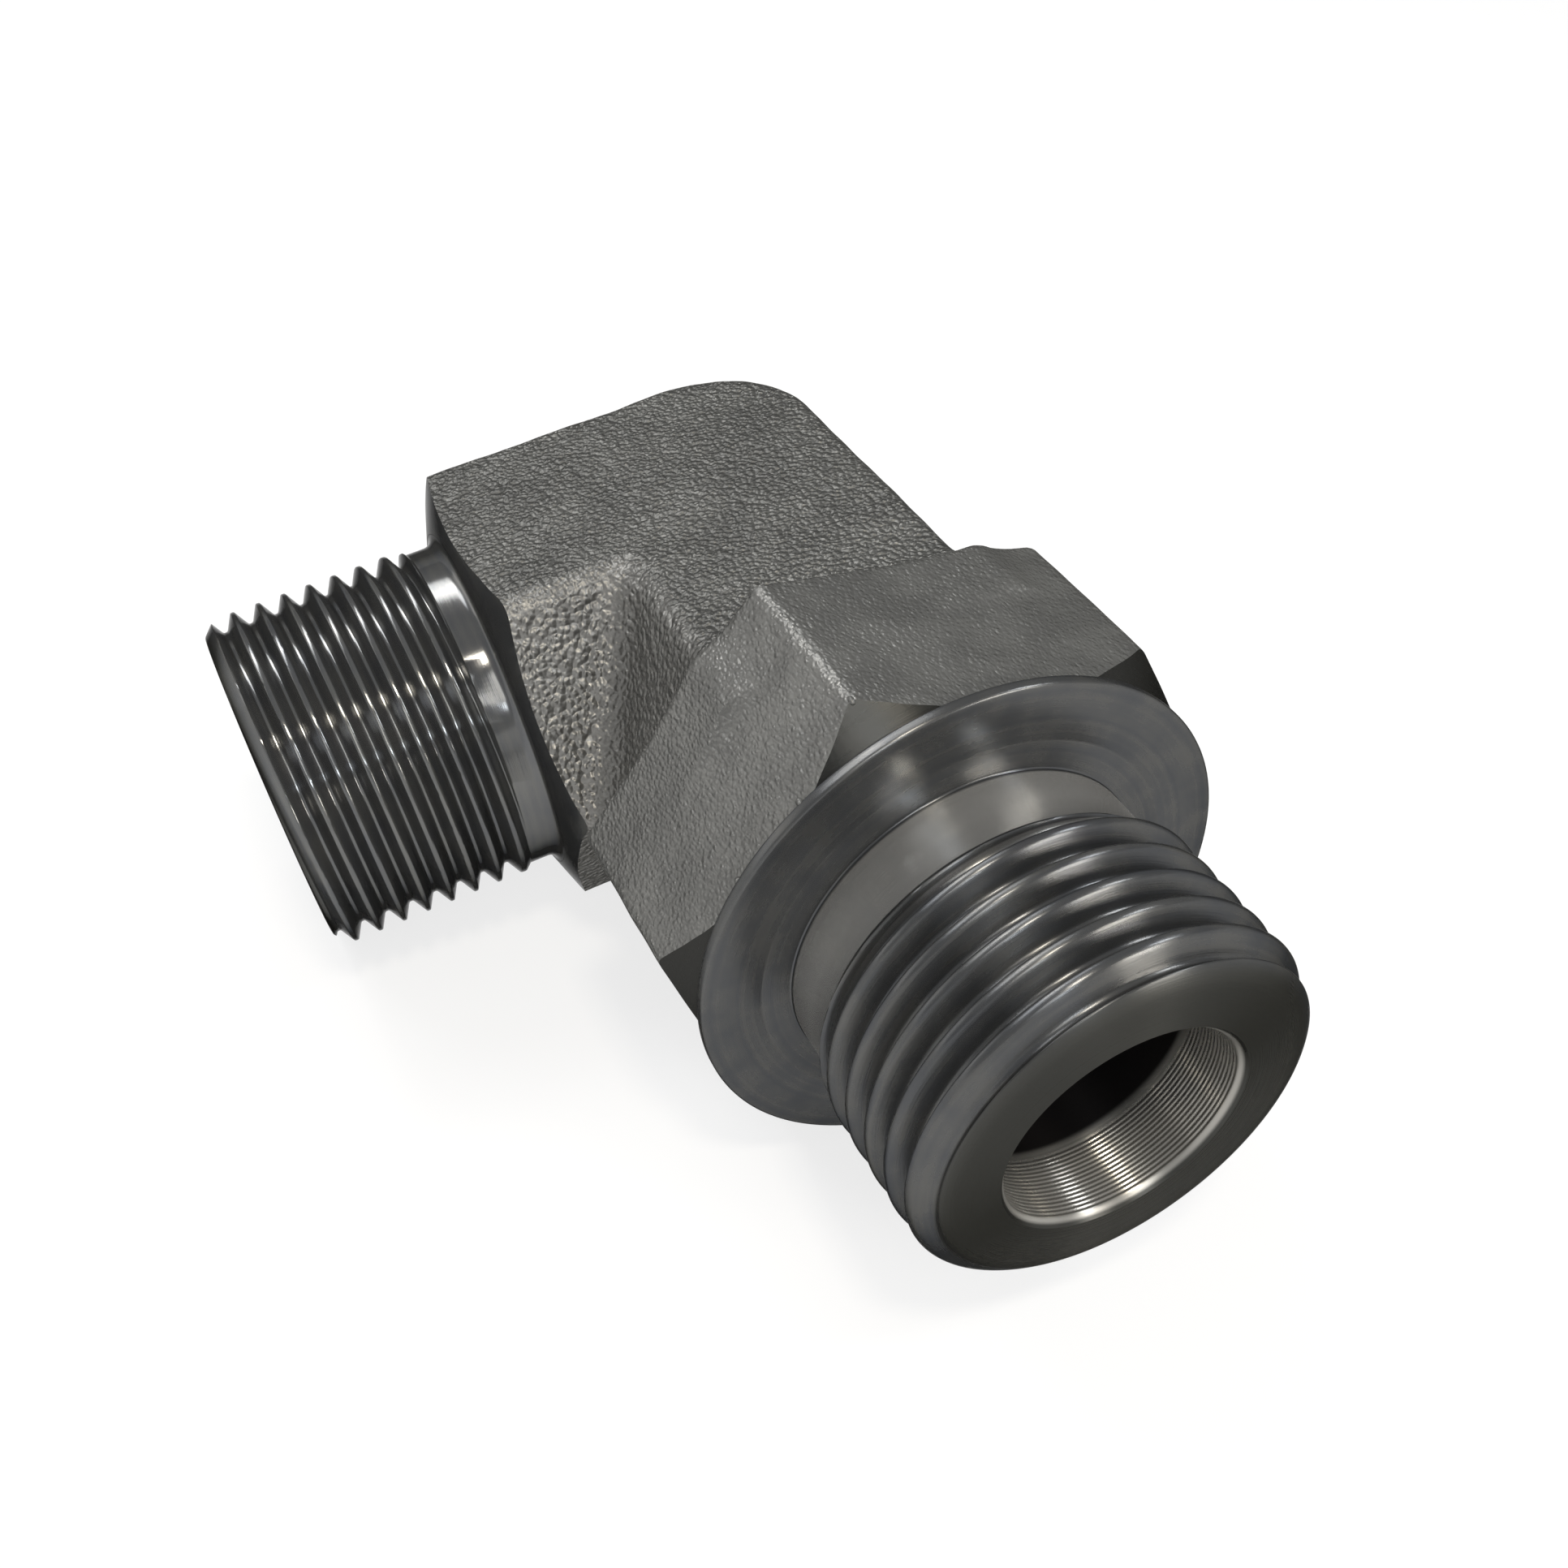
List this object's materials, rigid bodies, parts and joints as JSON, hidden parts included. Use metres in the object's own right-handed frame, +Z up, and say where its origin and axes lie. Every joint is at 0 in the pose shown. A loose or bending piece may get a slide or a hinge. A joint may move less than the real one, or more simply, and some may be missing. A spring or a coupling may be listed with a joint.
{
  "type": "hydraulic elbow adapter",
  "caption": "Forged steel right-angle hydraulic adapter: a pipe-thread stud with hexagon and sealing collar at one end, a metric tube end with a 24 degree cone at the other.",
  "frame": {"origin": "centre of the collar's sealing face, on the stud's axis", "axes": "-Y along the stud's axis, out of the port that it screws into; +Z up from the table that the piece rests on; the tube end points to -X and dips 8.97 degrees to that table"},
  "size_m": [0.0454, 0.0563, 0.0284],
  "materials": {
    "steel": "dark forged steel, blasted on the body, turned and glossy on the threads, collar and neck"
  },
  "bodies": {
    "root": {"elbow_body": "steel"}
  },
  "joints": []
}
